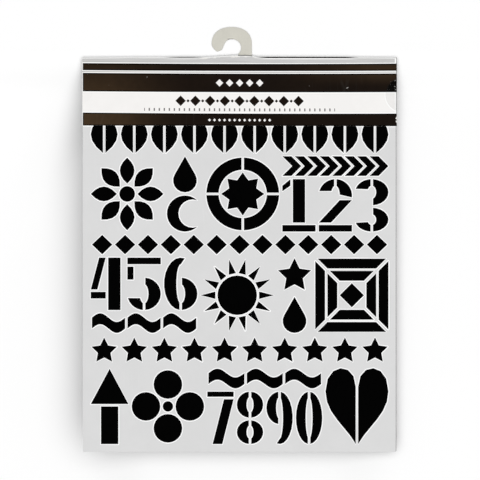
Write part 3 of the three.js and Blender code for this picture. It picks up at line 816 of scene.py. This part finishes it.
def hook_plastic(settings):
    """Natural plastic sheet with faint flow streaks, painted shade on its rounded edges, and a painted shadow at
    the top of the throat with a faint painted highlight above it.
    """
    material, place = new_material("hook plastic")
    x, y, _ = xyz(place)
    # Painted shade at the top of the throat, and a faint painted highlight just above it
    along = band(x, *THROAT_X, soft=0.8 * MM)
    throat_shade = times(along, band(y, *THROAT_SHADE_Y, soft=0.1 * MM))
    throat_highlight = times(along, band(y, *THROAT_HIGHLIGHT_Y, soft=0.2 * MM))
    throat_shading = scale_and_add(throat_shade, -0.4, times(throat_highlight, 0.06))
    cloud = effect("Cloud", place, 120.0)["Tone"]
    streaks = noise(stretched(place, 0, (1, 0.1, 1)), 700.0)
    scratches = effect("Handling marks", place, 110.0, Amount=0.8)["Scratches"]
    tone = times(spread(cloud, 0.975, 1.02), spread(streaks, 0.985, 1.015))
    tone = plus(tone, times(scratches, 0.03))
    # Painted shade: darker where the surface turns from flat, on the rounded edges
    normal = add(material.node_tree, "ShaderNodeTexCoord").outputs["Normal"]
    facing_shade = size_of(xyz(normal)["Z"])
    tone = scale_and_add(tone, scale_and_add(facing_shade, 0.3, 0.7), throat_shading)
    relief = bump(minus(streaks, scratches), 0.008 * MM)
    return coat(material, shade_colour(settings.plastic, tone), spread(cloud, 0.3, 0.42), 0.25, relief)


def tacky_pad(settings):
    """Adhesive pad with a soft dimpled skin."""
    material, place = new_material("adhesive pad")
    cloud = effect("Cloud", place, 90.0)["Tone"]
    dimples = noise(place, 1200.0, detail=1)
    colour = shade_colour(settings.tack, spread(cloud, 0.95, 1.04))
    return coat(material, colour, spread(dimples, 0.35, 0.6), 0.5, bump(dimples, 0.02 * MM))


def clear_film(settings, node):
    """Clear gloss film with a faint cloudiness and a cut rim painted brighter and more opaque as a highlight,
    better pressed down on the left.
    """
    material, place = new_material(f"clear film {node}")
    x, y, _ = xyz(place)
    reach, radius = seal_reach(x, y, node)
    # Painted highlight: the rim is brighter and more opaque than the body
    rim = ramp(reach, radius - settings.rim, radius - settings.rim / 2)
    cloud = effect("Cloud", place, 160.0)["Tone"]
    body = spread(cloud, 0.8 * settings.body_alpha, 1.2 * settings.body_alpha)
    alpha = most(body, times(rim, settings.rim_alpha))
    pressed = ramp(x, -HEADER_WIDTH, HEADER_WIDTH / 2)
    colour = blend_colour(rim, settings.film, settings.edge)
    relief = bump(cloud, 0.02 * MM)
    return coat(material, colour, spread(cloud, 0.06, 0.14), 0.2, relief, Alpha=times(alpha, pressed))


def seen_by_eye(tree):
    """1 for camera, mirror and glass rays, 0 for the light that falls on the object."""
    path = add(tree, "ShaderNodeLightPath").outputs
    return most(*(path[f"Is {ray} Ray"] for ray in ("Camera", "Glossy", "Transmission")))


def pale_floor(settings):
    """Matt board that the eye sees paper white, and that throws less light back, which keeps the shadow."""
    material, place = new_material("pale floor")
    tone = spread(noise(place, 3.0), 0.998, 1.002)
    colour = blend_colour(seen_by_eye(material.node_tree), settings.floor_bounce, settings.floor)
    return close_with(material, "ShaderNodeBsdfDiffuse", {"Color": shade_colour(colour, tone)})


# Operators


class STENCILPACK_OT_header_card(bpy.types.Operator):
    """Folds the printed header card: a back with the fold and its slit, and a front that opens at the crease"""

    bl_idname = "stencilpack.header_card"
    bl_label = "Header card"

    def execute(self, context):
        settings = pack_settings().header
        finishes = (
            printed_header(settings),
            bare_card("header inside", settings.white),
            bare_card("header core", settings.core),
        )
        back = self.fold_back(settings)
        front = self.score_front(settings)
        for card in (back, front):
            finish_with(card, *finishes)
            apply_modifier(
                card, "SOLIDIFY", thickness=CARD_THICKNESS, offset=0, use_even_offset=True,
                material_offset=1, material_offset_rim=2,
            )
        self.cut_slit(back, settings)
        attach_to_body(back, "header_back")
        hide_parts("header_back_flap")
        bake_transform(front)
        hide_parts("header_front_flap")
        return {"FINISHED"}

    def fold_back(self, settings):
        """The back flap, spun over at its top into the half round fold."""
        back = flat_card("header_back_card", BACK_MIDDLE_Z, settings)
        with editing(back):
            select(back, "verts", lambda v: v.co.y > FOLD_Y - NEAR)
            bpy.ops.mesh.spin(
                steps=settings.fold_steps, angle=-math.pi, center=(0, FOLD_Y, FOLD_Z), axis=(1, 0, 0)
            )
            bpy.ops.mesh.select_all(action="SELECT")
            bpy.ops.mesh.remove_doubles(threshold=SAME)
            face_outward(back, -1)
        lay_print(back)
        push(back, "Y", settings.crown, self.crown_weight)
        return back

    def score_front(self, settings):
        """The front flap, with a scored groove at the crease and extra rows where it bends."""
        front = flat_card("header_front_card", FRONT_MIDDLE_Z, settings)
        with editing(front):
            for step in range(CREASE_ROWS + 1):
                bpy.ops.mesh.select_all(action="SELECT")
                height = CREASE_Y - step / CREASE_ROWS * settings.crease_reach
                bpy.ops.mesh.bisect(plane_co=(0, height, 0), plane_no=(0, 1, 0))
            select(front, "verts", lambda v: abs(v.co.y - CREASE_Y) < NEAR)
            bpy.ops.transform.translate(value=(0, 0, -settings.groove))
        lay_print(front)
        push(front, "Y", settings.crown, self.crown_weight)
        push(front, "Z", settings.pillow, self.pillow_weight)
        push(front, "Y", -settings.skew, self.skew_weight)
        return front

    def crown_weight(self, point):
        """The fold rises a little in its middle and most over the hook, gently from the left and sharply
        from the right, and the crease below it stays straight."""
        bow = 1 - (2 * point.x / HEADER_WIDTH) ** 4
        over_hook = eased(point.x, *CROWN_LEFT) * eased(point.x, *CROWN_RIGHT)
        return eased(point.y, CREASE_Y, FOLD_Y) * (CROWN_BOW * bow + (1 - CROWN_BOW) * over_hook)

    def down_share(self, point):
        """0 at the crease and 1 at the front flap's foot."""
        return min(1.0, max(0.0, (CREASE_Y - point.y) / (CREASE_Y - HEADER_FOOT)))

    def pillow_weight(self, point):
        """The front flap swells between its crease and its foot, and lies flat under the seals."""
        inward = max(0.0, 1 - (2 * point.x / HEADER_WIDTH) ** 2)
        return math.sin(self.down_share(point) * PILLOW_ARC) * inward ** 2

    def skew_weight(self, point):
        """The front flap's foot runs down to the right."""
        return self.down_share(point) * (0.5 + point.x / HEADER_WIDTH)

    def cut_slit(self, back, settings):
        """The slit in the fold that the hook's stem comes through."""
        play = settings.slit_play
        points = [vertex.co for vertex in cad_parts["hanger_hook"].data.vertices]
        stem = [point.x for point in points if 0 < FOLD_Y - point.y < SLIT_DEPTH]
        low = (min(stem) - play, FOLD_Y, HOOK_LOW.z - play)
        cutter = block("slit", low, (max(stem) + play, FOLD_Y + SLIT_DEPTH, HOOK_HIGH.z + play))
        apply_modifier(back, "BOOLEAN", operation="DIFFERENCE", object=cutter, solver="EXACT")
        bpy.data.objects.remove(cutter)


class STENCILPACK_OT_stencil_sheet(bpy.types.Operator):
    """Gives the sheet its milky finish, with a pale raised rim round every cut-out"""

    bl_idname = "stencilpack.stencil_sheet"
    bl_label = "Stencil sheet"

    def execute(self, context):
        settings = pack_settings().sheet
        sheet = cad_copy("stencil_sheet", "stencil_film")
        finish_with(
            sheet,
            milky_sheet("milky polyester", settings.polyester, 0.42, settings),
            milky_sheet("cut edge", settings.cut_edge, 0.3, settings),
        )
        self.cut_again(sheet, settings)
        for side in (1, -1):
            self.raise_rim(sheet, side, settings)
        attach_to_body(sheet, "stencil")
        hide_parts("stencil_sheet")
        return {"FINISHED"}

    def cut_again(self, sheet, settings):
        """Keeps the outline of the sheet's front, rounds the cut-outs' tips as a cutting beam does, fills it."""
        with editing(sheet):
            select(sheet, "verts", lambda v: v.co.z < SHEET_HIGH.z - NEAR)
            bpy.ops.mesh.delete(type="VERT")
        with editing(sheet, "EDGE"):
            mesh = bmesh.from_edit_mesh(sheet.data)
            tips = {v.index for v in mesh.verts if self.angle_of_film(v) > TIP_ANGLE}
            select(sheet, "edges", lambda e: not e.is_boundary)
            bpy.ops.mesh.delete(type="EDGE_FACE")
        with editing(sheet):
            select(sheet, "verts", lambda v: v.index in tips)
            bpy.ops.mesh.bevel(offset=settings.corner, segments=3, affect="VERTICES")
            bpy.ops.mesh.select_all(action="SELECT")
            bpy.ops.mesh.fill(use_beauty=True)
            face_outward(sheet, 1)
        apply_modifier(sheet, "SOLIDIFY", thickness=SHEET_HIGH.z - SHEET_LOW.z, offset=-1)

    def raise_rim(self, sheet, side, settings):
        """Insets one face of the sheet, fills its middle afresh, and finishes the rims and the sloping walls."""
        middle = (SHEET_HIGH.z if side > 0 else SHEET_LOW.z) - side * settings.rim_lift
        with editing(sheet, "FACE"):
            select(sheet, "faces", lambda f: f.normal.z * side > 0.9 and f.material_index == 0)
            bpy.ops.mesh.inset(thickness=settings.rim, depth=-settings.rim_lift, use_even_offset=False)
            select(sheet, "faces", lambda f: all(abs(v.co.z - middle) < SAME for v in f.verts))
            bpy.ops.mesh.delete(type="FACE")
        with editing(sheet):
            select(sheet, "verts", lambda v: v.is_boundary)
            bpy.ops.mesh.remove_doubles(threshold=settings.weld)
        with editing(sheet, "EDGE"):
            select(sheet, "edges", lambda e: e.is_boundary)
            bpy.ops.mesh.fill(use_beauty=True)
        with editing(sheet, action="SELECT"):
            bpy.ops.mesh.normals_make_consistent(inside=False)
            for face in bmesh.from_edit_mesh(sheet.data).faces:
                slopes = height_range(face) > settings.rim_lift / 2
                face.material_index = int(slopes and not self.at_border(face, settings))

    def angle_of_film(self, vertex):
        """The angle that the sheet takes up at a vertex of its outline."""
        return sum(loop.calc_angle() for loop in vertex.link_loops)

    def at_border(self, face, settings):
        """Whether a face runs along the sheet's own outside edge."""
        point = face.calc_center_median()
        inside = min(point.x - SHEET_LOW.x, SHEET_HIGH.x - point.x, point.y - SHEET_LOW.y, SHEET_HIGH.y - point.y)
        return inside < 2 * settings.rim


class STENCILPACK_OT_backing_card(bpy.types.Operator):
    """Gives the backing card its matt black finish"""

    bl_idname = "stencilpack.backing_card"
    bl_label = "Backing card"

    def execute(self, context):
        finish_with(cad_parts["backing_card"], dyed_card(pack_settings().sheet))
        return {"FINISHED"}


class STENCILPACK_OT_hanger_hook(bpy.types.Operator):
    """Rounds the edges of the hook, and finishes it and the pad under its foot"""

    bl_idname = "stencilpack.hanger_hook"
    bl_label = "Hanger hook"

    def execute(self, context):
        settings = pack_settings().hook
        hook = cad_copy("hanger_hook", "hook_moulding")
        with editing(hook, "EDGE"):
            select(hook, "edges", lambda e: height_range(e) < NEAR and e.calc_face_angle(0) > SHARP_ANGLE)
            bpy.ops.mesh.bevel(offset=settings.edge_round, segments=3, affect="EDGES")
        make_active(hook)
        bpy.ops.object.shade_smooth_by_angle(angle=SMOOTH_ANGLE)
        finish_with(hook, hook_plastic(settings))
        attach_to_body(hook, "header_back")
        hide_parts("hanger_hook")
        finish_with(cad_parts["hook_adhesive_pad"], tacky_pad(settings))
        return {"FINISHED"}


class STENCILPACK_OT_clear_seals(bpy.types.Operator):
    """Gives the four halves of the round seals their clear film"""

    bl_idname = "stencilpack.clear_seals"
    bl_label = "Clear seals"

    def execute(self, context):
        for side in ("left", "right"):
            for face in ("front", "back"):
                node = f"seal_{side}_{face}"
                finish_with(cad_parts[node], clear_film(pack_settings().seals, node))
        return {"FINISHED"}


class STENCILPACK_OT_stage(bpy.types.Operator):
    """Sets the pale floor, the low riser under the pack, the light and the camera"""

    bl_idname = "stencilpack.stage"
    bl_label = "Stage"

    def execute(self, context):
        settings = pack_settings().stage
        material = pale_floor(settings)
        for piece in (self.floor(settings), self.riser(settings)):
            finish_with(piece, material)
        self.light(context, settings)
        self.camera(context, settings)
        context.scene.view_settings.view_transform = "Standard"
        return {"FINISHED"}

    def floor(self, settings):
        """A board that meets the pack at its fold and dips at its sides and foot, where the shadow spreads."""
        deepest = settings.touch + settings.dip_left
        half = CAD_BOX[1].y - CAD_BOX[0].y
        floor = grid("floor", (-half, -half, 0), (half, half, 0), FLOOR_CELLS, FLOOR_CELLS)
        push(floor, "Y", -0.25 * settings.gather, lambda point: self.crowding(point, settings))
        step = BACK_HIGH.y + 0.6 * MM
        push(floor, "Z", settings.hook_rest, lambda point: eased(point.y, step, step + 2 * MM))
        push(floor, "Z", -deepest, lambda point: self.dip(point, settings) / deepest)
        with editing(floor, "EDGE"):
            select(floor, "edges", lambda edge: edge.is_boundary)
            bpy.ops.mesh.extrude_region_move()
            outward = settings.floor_size / (2 * half)
            bpy.ops.transform.resize(value=(outward, outward, 1), center_override=(0, 0, 0))
        make_active(floor)
        bpy.ops.object.shade_smooth()
        return floor

    def crowding(self, point, settings):
        """How far a row just past the fold moves towards it, so that the rows there are fine enough to step up.
        The factor brings the most that a row moves to about 1, which is the most that a weight can be."""
        share = max(point.y - BACK_HIGH.y, 0) / settings.gather
        return 3.6 * share * (1 - eased(share, 0, 1))

    def dip(self, point, settings):
        """How far the floor lies below the pack's back at a point."""
        bank = settings.dip_bank
        left = eased(point.x, SHEET_LOW.x + bank, SHEET_LOW.x)
        from_right = eased(point.x, SHEET_HIGH.x, SHEET_HIGH.x - bank)
        foot = eased(point.y, SHEET_LOW.y + bank, SHEET_LOW.y) * from_right
        below_fold = BACK_HIGH.y - point.y
        depth = settings.dip_right + (settings.dip_foot - settings.dip_right) * foot
        depth *= eased(below_fold, 0, settings.dip_run)
        run_left = settings.dip_run_left + settings.dip_fan * max(SHEET_LOW.x - point.x, 0)
        depth += (settings.dip_left - depth) * left * eased(below_fold, 0, run_left)
        return settings.touch + depth

    def riser(self, settings):
        """A hidden block that carries the pack above the dip."""
        inset = settings.riser_inset
        low = (SHEET_LOW.x + inset, SHEET_LOW.y + inset, -settings.touch - settings.dip_left)
        return block("riser", low, (SHEET_HIGH.x - inset, SHEET_HIGH.y - inset, 0))

    def light(self, context, settings):
        world = bpy.data.worlds.new("studio")
        context.scene.world = world
        world.use_nodes = True
        world.node_tree.nodes.clear()
        strength = most(seen_by_eye(world.node_tree), settings.sky)
        close_with(world, "ShaderNodeBackground", {"Color": (1, 1, 1, 1), "Strength": strength})
        bpy.ops.object.select_all(action="DESELECT")
        bpy.ops.object.light_add(type="SUN", location=(0, 0, 1), rotation=(*settings.key_lean, 0))
        key = bpy.context.object
        key.name = "key"
        key.data.energy = settings.key
        key.data.angle = settings.key_spread

    def camera(self, context, settings):
        data = bpy.data.cameras.new("camera")
        data.lens = settings.lens
        camera = bpy.data.objects.new("camera", data)
        context.scene.collection.objects.link(camera)
        distance = settings.view_width * data.lens / data.sensor_width
        camera.location = (*CAMERA_AIM, SHEET_HIGH.z + distance)
        context.scene.camera = camera


class STENCILPACK_PT_panel(bpy.types.Panel):
    """Lists the pieces of the packaged stencil and their settings"""

    bl_idname = "STENCILPACK_PT_panel"
    bl_label = "Packaged stencil"
    bl_space_type = "VIEW_3D"
    bl_region_type = "UI"
    bl_category = "Stencil"

    def draw(self, context):
        groups = context.scene.stencil_pack
        for operator, group in PIECES:
            box = self.layout.box()
            box.operator(f"stencilpack.{operator}")
            settings = getattr(groups, group)
            for key in settings.bl_rna.properties.keys():
                if key not in ("rna_type", "name"):
                    box.prop(settings, key)


PIECES = (
    ("header_card", "header"),
    ("stencil_sheet", "sheet"),
    ("backing_card", "sheet"),
    ("hanger_hook", "hook"),
    ("clear_seals", "seals"),
    ("stage", "stage"),
)

CLASSES = (
    HeaderCardSettings,
    StencilSheetSettings,
    HangerHookSettings,
    ClearSealSettings,
    StageSettings,
    StencilPackSettings,
    STENCILPACK_OT_header_card,
    STENCILPACK_OT_stencil_sheet,
    STENCILPACK_OT_backing_card,
    STENCILPACK_OT_hanger_hook,
    STENCILPACK_OT_clear_seals,
    STENCILPACK_OT_stage,
    STENCILPACK_PT_panel,
)


def register():
    for cls in CLASSES:
        bpy.utils.register_class(cls)
    bpy.types.Scene.stencil_pack = PointerProperty(type=StencilPackSettings)


def unregister():
    del bpy.types.Scene.stencil_pack
    for cls in reversed(CLASSES):
        bpy.utils.unregister_class(cls)


def main():
    register()
    for operator, _ in PIECES:
        getattr(bpy.ops.stencilpack, operator)()


if __name__ == "__main__":
    main()
